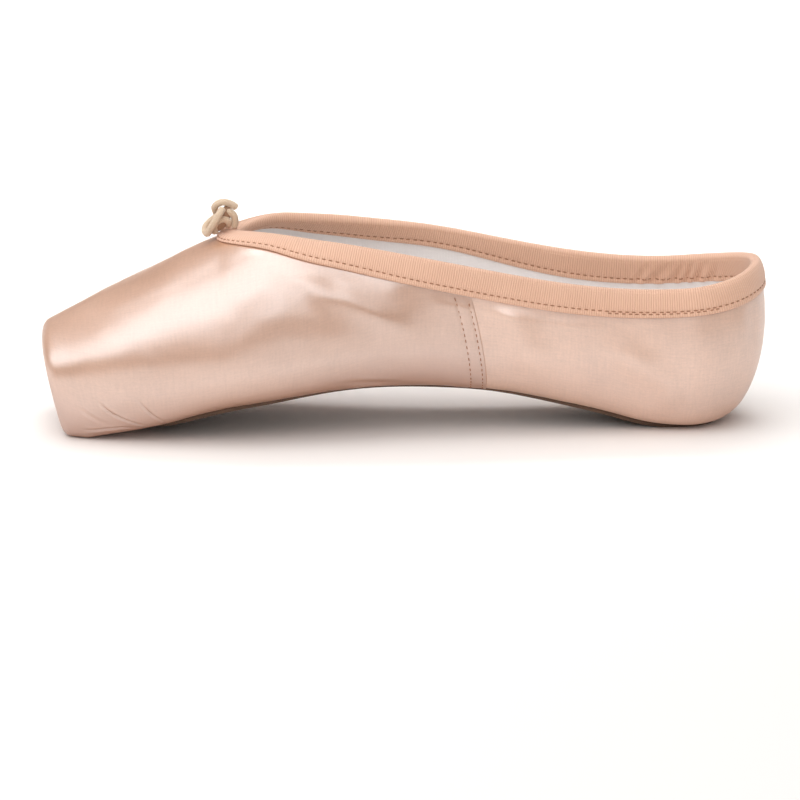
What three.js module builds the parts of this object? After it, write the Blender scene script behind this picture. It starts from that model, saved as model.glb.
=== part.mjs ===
// Pointe shoe, straight-lasted, standing on its heel and on the lower edge of its toe platform.
// Millimetres, +Z up, toe towards -Y, heel towards +Y, floor at z = 0.
import * as THREE from 'three';

// ---- driving dimensions
const toeY = -110.7;                               // platform's plane on the floor
const toeTilt = Math.tan(THREE.MathUtils.degToRad(13));
const leanEnd = -60;                               // behind this the sections stand upright
const heelY = 89.5;                                // centre of the round heel
const heelArc = 27;                                // millimetres of station for a radian of heel
const backAt = heelY + heelArc * Math.PI / 2;
const halfHeel = (heelY + backAt) / 2;
const throatY = -58;
const throatRun = 25;                              // length over which the throat opens out
const behindThroat = throatY + throatRun;
const platformFillet = 4;
const platformWall = 5.5;
const boxWall = 3;
const quarterWall = 1.5;
const gap = 0.35;                                  // between pieces that meet
const tapeThick = 0.6;
const tapeWidth = { outside: 8.5, inside: 9.0, throat: 1.6 };
const tapeDraw = 30;                               // length over which the tape widens from the throat
const insideDip = { depth: 2.7, at: 12, run: 32 }; // the inner leg is folded narrower along the waist
const bead = { throat: 1.9, back: 0.95, run: 30 }; // how far the tape's fold stands over the collar's edge
const soleThick = 1.6;
const sockThick = 1.8;
const soleTip = { front: -86, run: 12 };           // the rounded front ends of the flat pieces
const sockTip = { front: -98, run: 14, spare: 0.5 };
const bottomOpening = { front: -76, run: 16, margin: 6 };
const wallChange = { from: -85, to: -35 };         // where the box's wall thins to the quarter's
const handOver = 12;                               // how far behind the throat the collar's line takes over
const cordDiameter = 1.8;
const nudge = 0.01;                                // step along the skin for measuring its slope
const shortOfCrown = 2.999;                        // v just beside the crown, where a normal is defined

// ---- the last: one row for each section, from toe to back
// bottom, flat: height and half width of the flat underside
// half, widest: greatest half width and its height
// top, edge: height and half width of the collar; in front of the throat, height of the closed crown
// round: exponent of the section above its widest point
const sections = [
  { at: toeY, bottom: -2.4, flat: 15.0, half: 23.5, widest: 16.5, top: 32.0, edge: 14.0, round: 2.6 },
  { at: -100, bottom: 0.6, flat: 18.0, half: 28.0, widest: 18.5, top: 37.9, edge: 14.0, round: 2.4 },
  { at: -90, bottom: 2.6, flat: 19.5, half: 31.4, widest: 21.0, top: 43.6, edge: 14.0, round: 2.3 },
  { at: -74, bottom: 6.2, flat: 20.5, half: 35.0, widest: 24.5, top: 53.2, edge: 14.0, round: 2.1 },
  { at: -60, bottom: 9.8, flat: 20.5, half: 37.0, widest: 27.0, top: 61.6, edge: 14.0, round: 2.0 },
  { at: -44, bottom: 12.4, flat: 19.5, half: 36.5, widest: 29.0, top: 64.5, edge: 15.0, round: 2.2 },
  { at: -28, bottom: 14.7, flat: 17.5, half: 34.0, widest: 31.0, top: 64.1, edge: 18.6, round: 2.1 },
  { at: -10, bottom: 15.8, flat: 14.5, half: 30.5, widest: 33.0, top: 61.8, edge: 22.0, round: 2.0 },
  { at: 8, bottom: 15.4, flat: 13.5, half: 28.0, widest: 33.0, top: 58.8, edge: 25.4, round: 2.0 },
  { at: 28, bottom: 14.2, flat: 14.0, half: 27.0, widest: 32.0, top: 54.8, edge: 26.0, round: 2.1 },
  { at: 48, bottom: 10.5, flat: 14.5, half: 26.5, widest: 31.0, top: 51.0, edge: 25.2, round: 2.2 },
  { at: 66, bottom: 6.0, flat: 14.5, half: 26.3, widest: 30.5, top: 48.7, edge: 24.0, round: 2.2 },
  { at: 78, bottom: 2.7, flat: 14.5, half: 26.3, widest: 30.5, top: 48.0, edge: 23.3, round: 2.2 },
  { at: heelY, bottom: 1.5, flat: 14.0, half: 26.3, widest: 31.0, top: 48.1, edge: 22.8, round: 2.2 },
  { at: halfHeel, bottom: 1.5, flat: 13.5, half: 26.8, widest: 33.0, top: 50.4, edge: 23.7, round: 2.2 },
  { at: backAt, bottom: 1.5, flat: 13.0, half: 27.5, widest: 36.5, top: 52.9, edge: 25.0, round: 2.2 },
];

// half widths of the outsole
const soleOutline = [
  { at: soleTip.front, half: 17.0 }, { at: -66, half: 20.0 }, { at: -44, half: 18.5 },
  { at: -20, half: 13.5 }, { at: 4, half: 9.8 }, { at: 28, half: 11.0 }, { at: 55, half: 13.0 },
  { at: heelY, half: 12.5 }, { at: backAt, half: 12.5 },
];

const clamp = THREE.MathUtils.clamp;
const lerp = THREE.MathUtils.lerp;
const smooth = THREE.MathUtils.smoothstep;

// height of the crown, where a section would close if the collar didn't cut it off
function closedTop({ edge, half, round, widest, top }) {
  return widest + (top - widest) / (1 - (edge / half) ** round) ** (1 / round);
}
for (const row of sections) row.crown = row.at < throatY ? row.top : closedTop(row);

// cubic spline through one column: free at the toe, level at the back
function track(rows, column) {
  const count = rows.length;
  const slope = new Array(count);
  const upper = new Array(count);
  for (let i = 0; i < count; i++) {
    const before = i > 0 ? 1 / (rows[i].at - rows[i - 1].at) : 0;
    const after = i < count - 1 ? 1 / (rows[i + 1].at - rows[i].at) : 0;
    const rise = i > 0 ? (rows[i][column] - rows[i - 1][column]) * before * before : 0;
    const next = i < count - 1 ? (rows[i + 1][column] - rows[i][column]) * after * after : 0;
    const last = i === count - 1;
    const middle = last ? 1 : 2 * (before + after) - (i > 0 ? before * upper[i - 1] : 0);
    upper[i] = after / middle;
    slope[i] = last ? 0 : (3 * (rise + next) - (i > 0 ? before * slope[i - 1] : 0)) / middle;
  }
  for (let i = count - 2; i >= 0; i--) slope[i] -= upper[i] * slope[i + 1];
  return (at) => {
    let i = 0;
    while (i < count - 2 && at > rows[i + 1].at) i++;
    const run = rows[i + 1].at - rows[i].at;
    const t = (at - rows[i].at) / run;
    const u = 1 - t;
    return u * u * (1 + 2 * t) * rows[i][column] + t * t * (3 - 2 * t) * rows[i + 1][column]
      + t * u * run * (u * slope[i] - t * slope[i + 1]);
  };
}

const last = {};
for (const column of ['bottom', 'flat', 'half', 'widest', 'top', 'edge', 'round', 'crown']) {
  last[column] = track(sections, column);
}

// the vamp's own crown in front, handed over to the collar's line behind the throat
function crown(at) {
  const open = smooth(at, throatY + handOver, behindThroat + handOver);
  if (open === 0) return last.crown(at);
  const row = {};
  for (const key of ['edge', 'half', 'round', 'widest', 'top']) row[key] = last[key](at);
  return lerp(last.crown(at), closedTop(row), open);
}
const soleHalf = track(soleOutline, 'half');

// takes a point of a half section to its place: sheared at the toe, turned round the heel
function place(at, x, z) {
  const lean = toeTilt * clamp((leanEnd - at) / (leanEnd - toeY), 0, 1);
  const turn = clamp((at - heelY) / heelArc, 0, Math.PI / 2);
  const side = turn > Math.PI / 2 - 1e-9 ? 0 : x * Math.cos(turn);
  return new THREE.Vector3(side, Math.min(at, heelY) + x * Math.sin(turn) - lean * z, z);
}

// the outer skin, right half. v runs from the middle of the underside (0) to the edge of its flat (1),
// to the widest point (2) and to the crown (3); inset shrinks the section
function skin(at, v, inset = 0) {
  const flat = last.flat(at) - inset;
  const half = last.half(at) - inset;
  const widest = last.widest(at);
  const bottom = Math.max(last.bottom(at), 0) + inset;
  if (v <= 1) return place(at, flat * Math.max(v, 0), bottom);
  if (v <= 2) {
    const angle = (v - 1) * Math.PI / 2;
    return place(at, flat + (half - flat) * Math.sin(angle), widest - (widest - bottom) * Math.cos(angle));
  }
  const angle = Math.min(v - 2, 1) * Math.PI / 2;
  const round = last.round(at);
  const across = v >= 3 ? 0 : Math.cos(angle);
  const up = Math.sin(angle);
  const reach = (across ** round + up ** round) ** (1 / round);
  return place(at, half * across / reach, widest + (crown(at) - inset - widest) * up / reach);
}

// outward unit normal, from small steps along and across the skin
function normal(at, v) {
  const along = skin(Math.min(at + nudge, backAt), v).sub(skin(at - nudge, v));
  const across = skin(at, Math.min(v + nudge, 3)).sub(skin(at, Math.max(v - nudge, 0)));
  const out = along.cross(across).normalize();
  const centre = v <= 0 || v >= 3 || at >= backAt - 1e-6;
  return centre ? out.setX(0).normalize() : out;
}

// where the collar cuts the skin: behind the throat it opens out as a quarter circle
function collarV(at) {
  if (at <= throatY) return 3;
  const run = clamp((at - throatY) / throatRun, 0, 1);
  const edge = last.edge(at) * Math.sqrt(1 - (1 - run) ** 2) / last.half(at);
  const round = last.round(at);
  return 2 + Math.atan2((1 - edge ** round) ** (1 / round), edge) / (Math.PI / 2);
}

// where the underside's opening cuts it, a margin inside the outsole's edge
function openingV(at) {
  const { front, run, margin } = bottomOpening;
  if (at <= front) return 0;
  const open = Math.sqrt(1 - (1 - clamp((at - front) / run, 0, 1)) ** 2);
  return open * (soleHalf(at) - margin) / last.flat(at);
}

const wall = (at) => lerp(boxWall, quarterWall, smooth(at, wallChange.from, wallChange.to));

// ---- mesh helpers
const spread = (from, to, steps, ease = (t) => t) =>
  Array.from({ length: steps + 1 }, (_, i) => lerp(from, to, ease(i / steps)));

function triangle(list, a, b, c) {
  const area = b.clone().sub(a).cross(c.clone().sub(a)).length();
  if (area > 1e-7) list.push(a, b, c);
}

function quad(list, a, b, c, d) {
  if (a.distanceTo(c) < b.distanceTo(d)) {
    triangle(list, a, b, c);
    triangle(list, a, c, d);
  } else {
    triangle(list, a, b, d);
    triangle(list, b, c, d);
  }
}

// rows of points joined by quads; facing turns the sheet over
function sheet(list, rows, facing = 1) {
  for (let i = 0; i + 1 < rows.length; i++) {
    for (let j = 0; j + 1 < rows[i].length; j++) {
      const corners = [rows[i][j], rows[i][j + 1], rows[i + 1][j + 1], rows[i + 1][j]];
      quad(list, ...(facing > 0 ? corners : corners.reverse()));
    }
  }
}

// a right half and its mirror image, as one mesh
function mirrored(name, list, color, roughness) {
  const points = [...list];
  for (let i = 0; i < list.length; i += 3) {
    for (const k of [0, 2, 1]) points.push(new THREE.Vector3(-list[i + k].x, list[i + k].y, list[i + k].z));
  }
  const geometry = new THREE.BufferGeometry().setFromPoints(points);
  geometry.computeVertexNormals();
  const mesh = new THREE.Mesh(geometry, new THREE.MeshStandardMaterial({ color, roughness }));
  mesh.name = name;
  return mesh;
}

// ---- stations along the shoe, shared by every piece
const throatStations = spread(0, 1, 8).map((t) => throatY + throatRun * (1 - Math.cos(t * Math.PI / 2)));
const openStations = spread(0, 1, 5).map((t) => bottomOpening.front
  + bottomOpening.run * (1 - Math.cos(t * Math.PI / 2)));
const heelStations = spread(heelY, backAt, 12);
const bodyStations = [
  ...spread(toeY + platformFillet, bottomOpening.front, 7).slice(0, -1),
  ...openStations.slice(0, -1),
  ...throatStations,
  ...spread(behindThroat, heelY, 26).slice(1, -1),
  ...heelStations,
];

// ---- upper: outer skin, inner skin, and the rims at the collar and round the underside's opening
function columns(at, counts) {
  const [start, end] = [openingV(at), collarV(at)];
  const [flat, low, high] = counts;
  return [...spread(start, 1, flat), ...spread(1, 2, low).slice(1), ...spread(2, end, high).slice(1)];
}

function makeUpper() {
  const counts = [2, 8, 9];                        // over the flat, the lower and the upper quarter
  const fillet = spread(0, 1, 4).map((t) => (1 - t) * Math.PI / 2).slice(0, -1);
  const outer = [
    ...fillet.map((angle) => columns(toeY, counts).map((v) =>
      skin(toeY + platformFillet * (1 - Math.sin(angle)), v, platformFillet * (1 - Math.cos(angle))))),
    ...bodyStations.map((at) => columns(at, counts).map((v) => skin(at, v))),
  ];
  const innerStations = [toeY + platformWall, ...bodyStations.slice(1)];
  const inner = innerStations.map((at) => columns(at, counts).map((v) =>
    skin(at, v).addScaledVector(normal(at, v), -wall(at))));
  const faces = [];
  sheet(faces, outer, -1);
  sheet(faces, inner, 1);
  const rims = { collar: [], opening: [] };
  bodyStations.forEach((at, i) => {
    const [outside, inside] = [outer[i + fillet.length], inner[i]];
    if (at >= throatY) rims.collar.push([outside.at(-1), inside.at(-1)]);
    if (at >= bottomOpening.front) rims.opening.push([outside[0], inside[0]]);
  });
  sheet(faces, rims.collar, -1);
  sheet(faces, rims.opening, 1);
  for (const [row, facing] of [[outer[0], 1], [inner[0], -1]]) {
    const centre = row[0].clone().lerp(row.at(-1), 0.5);
    sheet(faces, [row.map(() => centre), row], -facing);
  }
  return mirrored('upper', faces, 0xdcb6a0, 0.45);
}

// ---- binding: a folded tape along the collar, its legs on both sides of the wall
// walks a distance over the skin from (at, v), away from the opening
function walk(at, v, away, distance) {
  const steps = 4;
  for (let i = 0; i < steps; i++) {
    const ahead = Math.min(at + nudge, backAt);
    const along = skin(ahead, v).sub(skin(at - nudge, v)).divideScalar(ahead - at + nudge);
    const across = skin(at, v + nudge).sub(skin(at, v - nudge)).divideScalar(2 * nudge);
    const [aa, ab, bb] = [along.dot(along), along.dot(across), across.dot(across)];
    const [da, db] = [away.dot(along), away.dot(across)];
    const det = aa * bb - ab * ab;
    at += (da * bb - db * ab) / det * distance / steps;
    v += (db * aa - da * ab) / det * distance / steps;
  }
  return [Math.min(at, backAt), Math.min(v, 3)];
}

function makeBinding() {
  const stations = bodyStations.filter((at) => at >= throatY);
  const edge = stations.map((at) => skin(at, collarV(at)));
  const rows = stations.map((at, i) => {
    const v = collarV(at);
    const ends = i === 0 || i === stations.length - 1;
    const tangent = ends ? new THREE.Vector3(i === 0 ? 1 : -1, 0, 0)
      : edge[i + 1].clone().sub(edge[i - 1]).normalize();
    const out = normal(at, Math.min(v, shortOfCrown));
    if (ends) out.setX(0).normalize();
    const away = tangent.clone().cross(out).normalize();
    const thick = wall(at);
    const drawn = Math.sin(clamp((at - throatY) / tapeDraw, 0, 1) * Math.PI / 2);
    const rise = lerp(bead.throat, bead.back, smooth(at, throatY, throatY + bead.run));
    const outside = lerp(tapeWidth.throat, tapeWidth.outside, drawn);
    const dip = insideDip.depth * Math.exp(-(((at - insideDip.at) / insideDip.run) ** 2));
    const inside = lerp(tapeWidth.throat, tapeWidth.inside - dip, drawn);
    const ring = [];
    const put = (distance, offset) => {
      if (distance <= 0) {
        ring.push(edge[i].clone().addScaledVector(away, distance).addScaledVector(out, offset));
        return;
      }
      const [a, b] = walk(at, v, away, distance);
      const lift = normal(a, Math.min(b, shortOfCrown));
      if (ends) lift.setX(0).normalize();
      const point = skin(a, b).addScaledVector(lift, offset);
      ring.push(ends ? point.setX(0) : point);
    };
    const [near, far] = [gap, gap + tapeThick];
    for (const d of [outside, outside / 2, 0]) put(d, far);
    put(-rise, near);
    put(-rise, -thick - near);
    for (const d of [0, inside / 2, inside]) put(d, -thick - far);
    for (const d of [inside, inside / 2]) put(d, -thick - near);
    put(-gap, -thick - near);
    put(-gap, near);
    for (const d of [outside / 2, outside]) put(d, near);
    return [...ring, ring[0]];
  });
  const faces = [];
  sheet(faces, rows, -1);
  return mirrored('binding', faces, 0xd3a58b, 0.7);
}

// ---- flat pieces under and over the upper's turned-in margin
function plate(name, stations, halfWidth, lower, upper, color) {
  const rows = stations.map((at) => {
    const half = halfWidth(at);
    const middle = Math.min(at, heelY);
    return [place(middle, 0, lower(middle)), place(at, half, lower(at)), place(at, half, upper(at)),
      place(middle, 0, upper(middle))];
  });
  const faces = [];
  sheet(faces, rows, -1);
  return mirrored(name, faces, color, 0.8);
}

function roundEnd(front, run, halfWidth) {
  return (at) => halfWidth(at) * Math.sqrt(1 - (1 - clamp((at - front) / run, 0, 1)) ** 2);
}

function endStations(front, run, steps) {
  const tip = spread(0, 1, 7).map((t) => front + run * (1 - Math.cos(t * Math.PI / 2)));
  return [...tip, ...spread(front + run, heelY, steps).slice(1, -1), ...heelStations];
}

function makeOutsole() {
  const { front, run } = soleTip;
  const top = (at) => Math.max(last.bottom(at), 0) - gap;
  const under = (at) => Math.max(top(at) - soleThick, 0);
  return plate('outsole', endStations(front, run, 40), roundEnd(front, run, soleHalf), under, top, 0x6b4a38);
}

function makeInsole() {
  const { front, run, spare } = sockTip;
  const half = (at) => last.flat(at) + spare;
  const under = (at) => Math.max(last.bottom(at), 0) + wall(at) + gap;
  const top = (at) => under(at) + sockThick;
  return plate('insole', endStations(front, run, 34), roundEnd(front, run, half), under, top, 0xcfc4b6);
}

// ---- drawstring: its two ends, knotted through each other at the throat
const cordRoutes = {
  // up from the notch in front of the tape, round behind the other end, over the top to a short tail
  'drawstring-front': [
    [0, -61.2, 62.5], [0, -61.3, 63.6], [0.2, -61.2, 64.8], [0.6, -60.8, 66.2], [1.3, -59.7, 67.6],
    [1.5, -58.2, 68], [0.9, -57.1, 67.2], [-0.8, -57, 65.7], [-2.9, -58.2, 65.6], [-3.7, -59.8, 67.3],
    [-3.3, -61, 69.4], [-1.5, -61.3, 71.4], [0, -60.1, 72.9], [0.6, -58.2, 73.4], [0.4, -56.3, 72.8],
    [0.2, -55, 72], [0, -54, 71.3],
  ],
  // up from behind the tape's fold, forward under the first end, and down and back as a loop
  'drawstring-back': [
    [-0.3, -55.4, 64.6], [0, -54.9, 66], [0.3, -54.8, 67.6], [0.7, -55.4, 69.3], [0.7, -56.9, 70.3],
    [-0.4, -58.4, 69.8], [-1, -59.8, 68.8], [-1.4, -61.4, 67.7], [-1.5, -63.1, 66.3], [-1, -64.3, 64.9],
    [0, -64.5, 63.7], [1.1, -63.8, 63.2], [2.2, -62.8, 64.9], [3.2, -61.6, 67.1], [3.5, -60.2, 69.6],
    [3, -59.2, 71.1], [2.3, -58.5, 72],
  ],
};

function makeCord(name) {
  const path = new THREE.CatmullRomCurve3(cordRoutes[name].map((p) => new THREE.Vector3(...p)));
  const section = new THREE.Shape(spread(0, 2 * Math.PI, 8).slice(0, -1).map((angle) =>
    new THREE.Vector2(Math.cos(angle), Math.sin(angle)).multiplyScalar(cordDiameter / 2)));
  const geometry = new THREE.ExtrudeGeometry(section, { extrudePath: path, steps: 40, bevelEnabled: false });
  const mesh = new THREE.Mesh(geometry, new THREE.MeshStandardMaterial({ color: 0xe2c9b0, roughness: 0.7 }));
  mesh.name = name;
  return mesh;
}

const shoe = new THREE.Group();
shoe.add(makeUpper(), makeBinding(), makeOutsole(), makeInsole());
for (const name of Object.keys(cordRoutes)) shoe.add(makeCord(name));

export default shoe;
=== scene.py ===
import bmesh
import bpy
import numpy as np
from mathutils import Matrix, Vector


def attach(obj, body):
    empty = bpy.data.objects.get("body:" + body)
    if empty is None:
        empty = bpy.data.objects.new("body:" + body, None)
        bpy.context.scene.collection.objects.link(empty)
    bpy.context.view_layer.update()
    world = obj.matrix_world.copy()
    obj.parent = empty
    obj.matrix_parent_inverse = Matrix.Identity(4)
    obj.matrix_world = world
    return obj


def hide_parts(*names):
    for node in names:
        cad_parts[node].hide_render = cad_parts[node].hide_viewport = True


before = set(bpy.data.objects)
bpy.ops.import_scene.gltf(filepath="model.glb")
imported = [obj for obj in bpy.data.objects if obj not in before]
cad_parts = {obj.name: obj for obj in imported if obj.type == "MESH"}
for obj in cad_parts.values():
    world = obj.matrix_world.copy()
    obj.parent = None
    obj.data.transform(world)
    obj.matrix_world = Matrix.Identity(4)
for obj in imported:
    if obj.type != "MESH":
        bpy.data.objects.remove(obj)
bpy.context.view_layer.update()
mm = 0.001  # shapes are worked out in millimetres, and newPiece brings them to metres
tiny = 1e-9
nudge = 0.01  # step for slopes, in millimetres along the shoe and in v across it

camera = {"azimuth": 88, "elevation": 15, "distance": 2.0, "width": 0.2608, "aim": (-0.0015, 0.0064),
          "sensor": 36}


def makeCamera():
    # stands back along the azimuth and elevation; width is what it sees there, aim moves it right and up
    azimuth, elevation = np.radians([camera["azimuth"], camera["elevation"]])
    level = np.cos(elevation)
    back = np.array([np.sin(azimuth) * level, -np.cos(azimuth) * level, np.sin(elevation)])
    right = np.cross([0, 0, 1], back)
    right = right / np.linalg.norm(right)
    up = np.cross(back, right)
    data = bpy.data.cameras.new("camera")
    data.sensor_width = camera["sensor"]
    data.lens = camera["sensor"] * camera["distance"] / camera["width"]
    stand = bpy.data.objects.new("camera", data)
    stand.location = right * camera["aim"][0] + up * camera["aim"][1] + back * camera["distance"]
    stand.rotation_euler = Vector(back).to_track_quat("Z", "Y").to_euler()
    bpy.context.collection.objects.link(stand)
    bpy.context.scene.camera = stand


# where each soft box stands, what it faces, its two sides in metres, its power and its spread in degrees
softBoxes = {
    "overhead": {"place": (0.32, -0.58, 1.22), "faces": (0.04, -0.12, 0.0), "size": (1.3, 2.3), "power": 20.6,
                 "spread": 180},
    "backdrop": {"place": (-0.85, 0.0, 1.3), "faces": (-0.85, 0.0, 0.0), "size": (0.7, 2.4), "power": 14.0,
                 "spread": 80},
    "frontPanel": {"place": (1.5, 0.1, 1.22), "faces": (0.0, 0.0, 0.03), "size": (0.9, 1.45), "power": 10.4,
                   "spread": 180},
}
sky = {"color": (1, 1, 1, 1), "strength": 0.28}


def makeLight():
    # one area lamp for each soft box, turned from its place towards what it faces, in an even pale sky
    for name, box in softBoxes.items():
        data = bpy.data.lights.new(name, "AREA")
        data.shape = "RECTANGLE"
        data.size, data.size_y = box["size"]
        data.energy = box["power"]
        data.spread = np.radians(box["spread"])
        lamp = bpy.data.objects.new(name, data)
        lamp.location = box["place"]
        lamp.rotation_euler = (Vector(box["place"]) - Vector(box["faces"])).to_track_quat("Z", "Y").to_euler()
        bpy.context.collection.objects.link(lamp)
    world = bpy.data.worlds.new("studio")
    world.use_nodes = True
    background = world.node_tree.nodes["Background"]
    background.inputs["Color"].default_value = sky["color"]
    background.inputs["Strength"].default_value = sky["strength"]
    bpy.context.scene.world = world
    bpy.context.scene.view_settings.view_transform = "Standard"


makeCamera()
makeLight()
print("camera and light ready")

# the last, in millimetres; stations run from the toe, in -Y, along the bottom and round the heel's arc
shoe = {
    "toeY": -110.7, "toeTilt": np.tan(np.radians(13)), "leanEnd": -60,
    "heelY": 89.5, "heelArc": 27, "throatY": -58, "throatRun": 25,
    "platformFillet": 2.6, "boxWall": 3, "quarterWall": 1.5, "wallFrom": -85, "wallTo": -35,
    "gap": 0.35, "soleThick": 1.6, "sockThick": 1.8,
}
backAt = shoe["heelY"] + shoe["heelArc"] * np.pi / 2
behindThroat = shoe["throatY"] + shoe["throatRun"]

# one row for each section: station, height and half width of the flat underside, greatest half width
# and its height, height and half width of the collar, roundness above the widest point
lastRows = np.array([
    (shoe["toeY"], -2.4, 15.0, 23.5, 16.5, 32.0, 14.0, 2.6),
    (-100, 0.6, 18.0, 28.0, 18.5, 37.9, 14.0, 2.4),
    (-90, 2.6, 19.5, 31.4, 21.0, 43.6, 14.0, 2.3),
    (-74, 6.2, 20.5, 35.0, 24.5, 53.2, 14.0, 2.1),
    (-60, 9.8, 20.5, 37.0, 27.0, 61.6, 14.0, 2.0),
    (-44, 12.4, 19.5, 36.5, 29.0, 64.5, 15.0, 2.2),
    (-28, 14.7, 17.5, 34.0, 31.0, 64.1, 18.6, 2.1),
    (-10, 15.8, 14.5, 30.5, 33.0, 61.8, 22.0, 2.0),
    (8, 15.4, 13.5, 28.0, 33.0, 58.8, 25.4, 2.0),
    (28, 14.2, 14.0, 27.0, 32.0, 54.8, 26.0, 2.1),
    (48, 10.5, 14.5, 26.5, 31.0, 51.0, 25.2, 2.2),
    (66, 6.0, 14.5, 26.3, 30.5, 48.7, 24.0, 2.2),
    (78, 2.7, 14.5, 26.3, 30.5, 48.0, 23.3, 2.2),
    (shoe["heelY"], 1.5, 14.0, 26.3, 31.0, 48.1, 22.8, 2.2),
    ((shoe["heelY"] + backAt) / 2, 1.5, 13.5, 26.8, 33.0, 50.4, 23.7, 2.2),
    (backAt, 1.5, 13.0, 27.5, 36.5, 52.9, 25.0, 2.2),
])
columnNames = ["bottom", "flat", "half", "widest", "top", "edge", "round"]

# station and half width of the outsole
soleRows = np.array([
    (-86, 17.0), (-66, 20.0), (-44, 18.5), (-20, 13.5), (4, 9.8), (28, 11.0), (55, 13.0),
    (shoe["heelY"], 12.5), (backAt, 12.5),
])


def smooth(x, low, high):
    # 0 up to low, 1 from high, and an even S between them
    t = np.clip((x - low) / (high - low), 0, 1)
    return t * t * (3 - 2 * t)


def unit(vectors):
    # each vector divided by its own length
    return vectors / np.maximum(np.linalg.norm(vectors, axis=-1, keepdims=True), 1e-12)


def running(points):
    # distance along a line of points from its first one
    return np.concatenate([[0], np.cumsum(np.linalg.norm(np.diff(points, axis=0), axis=1))])


def closedTop(edge, half, rounding, widest, top):
    # height at which a section closes: top is where its half width is edge
    return widest + (top - widest) / (1 - (edge / half) ** rounding) ** (1 / rounding)


def spline(at, values):
    # cubic with equal curvature on both sides of each row, free at the toe, level at the back
    count = len(at)
    run = np.diff(at)
    rise = np.diff(values) / run
    matrix = np.zeros((count, count))
    right = np.zeros(count)
    matrix[0, :2] = 2 / run[0], 1 / run[0]
    right[0] = 3 * rise[0] / run[0]
    for i in range(1, count - 1):
        matrix[i, i - 1:i + 2] = 1 / run[i - 1], 2 / run[i - 1] + 2 / run[i], 1 / run[i]
        right[i] = 3 * (rise[i - 1] / run[i - 1] + rise[i] / run[i])
    matrix[-1, -1] = 1
    slope = np.linalg.solve(matrix, right)

    def follow(x):
        i = np.clip(np.searchsorted(at, x) - 1, 0, count - 2)
        t = (x - at[i]) / run[i]
        u = 1 - t
        return (u * u * (1 + 2 * t) * values[i] + t * t * (3 - 2 * t) * values[i + 1]
                + t * u * run[i] * (u * slope[i] - t * slope[i + 1]))
    return follow


last = {name: spline(lastRows[:, 0], lastRows[:, i + 1]) for i, name in enumerate(columnNames)}
soleHalf = spline(soleRows[:, 0], soleRows[:, 1])
rowCrown = closedTop(lastRows[:, 6], lastRows[:, 3], lastRows[:, 7], lastRows[:, 4], lastRows[:, 5])
vampCrown = spline(lastRows[:, 0], np.where(lastRows[:, 0] < shoe["throatY"], lastRows[:, 5], rowCrown))


def crown(at):
    # the vamp's own crown in front, handed over to the collar's line behind the throat
    blend = smooth(at, shoe["throatY"] + 12, behindThroat + 12)
    line = closedTop(*[last[name](at) for name in ("edge", "half", "round", "widest", "top")])
    return vampCrown(at) * (1 - blend) + np.where(blend > 0, line, 0) * blend


def place(at, x, z):
    # sheared at the toe, turned about the heel's centre behind it
    lean = shoe["toeTilt"] * np.clip((shoe["leanEnd"] - at) / (shoe["leanEnd"] - shoe["toeY"]), 0, 1)
    turn = np.clip((at - shoe["heelY"]) / shoe["heelArc"], 0, np.pi / 2)
    across = np.where(turn > np.pi / 2 - tiny, 0, x * np.cos(turn))
    return np.stack([across, np.minimum(at, shoe["heelY"]) + x * np.sin(turn) - lean * z, z + 0 * x], -1)


def bottomOf(at):
    # the underside, which never goes through the floor
    return np.maximum(last["bottom"](at), 0)


def skin(at, v, inset=0.0):
    # right half: v is 0 to 1 over the flat underside, 1 to 2 a quarter ellipse out to the widest
    # point, 2 to 3 a quarter superellipse up to the crown
    at, v, inset = np.broadcast_arrays(np.asarray(at, float), v, inset)
    flat, half, widest = last["flat"](at) - inset, last["half"](at) - inset, last["widest"](at)
    bottom = bottomOf(at) + inset
    low = np.clip(v - 1, 0, 1) * np.pi / 2
    high = np.clip(v - 2, 0, 1) * np.pi / 2
    rounding = last["round"](at)
    up, out = np.sin(high), np.where(v >= 3, 0, np.cos(high))
    reach = (out ** rounding + up ** rounding) ** (1 / rounding)
    side = np.where(v <= 2, flat + (half - flat) * np.sin(low), half * out / reach)
    x = np.where(v <= 1, flat * np.clip(v, 0, 1), side)
    above = widest + (crown(at) - inset - widest) * up / reach
    return place(at, x, np.where(v <= 2, widest - (widest - bottom) * np.cos(low), above))


def skinNormal(at, v):
    # cross product of small steps along and across the skin, kept upright on the middle line
    at, v = np.broadcast_arrays(np.asarray(at, float), v)
    along = skin(np.minimum(at + nudge, backAt), v) - skin(at - nudge, v)
    across = skin(at, np.minimum(v + nudge, 3)) - skin(at, np.maximum(v - nudge, 0))
    out = unit(np.cross(along, across))
    centre = (v <= 0) | (v >= 3) | (at >= backAt - 1e-6)
    out[..., 0] = np.where(centre, 0, out[..., 0])
    return unit(out)


def collarV(at):
    # where the collar cuts the skin: the opening widens as a quarter circle behind the throat
    run = np.clip((at - shoe["throatY"]) / shoe["throatRun"], 0, 1)
    edge = last["edge"](at) * np.sqrt(1 - (1 - run) ** 2) / last["half"](at)
    rounding = last["round"](at)
    high = np.arctan2((1 - edge ** rounding) ** (1 / rounding), edge)
    return np.where(at <= shoe["throatY"], 3, 2 + high / (np.pi / 2))


def wall(at):
    # thick round the box, thin in the quarters, and an even change between them
    change = smooth(at, shoe["wallFrom"], shoe["wallTo"])
    return shoe["boxWall"] + (shoe["quarterWall"] - shoe["boxWall"]) * change


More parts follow.
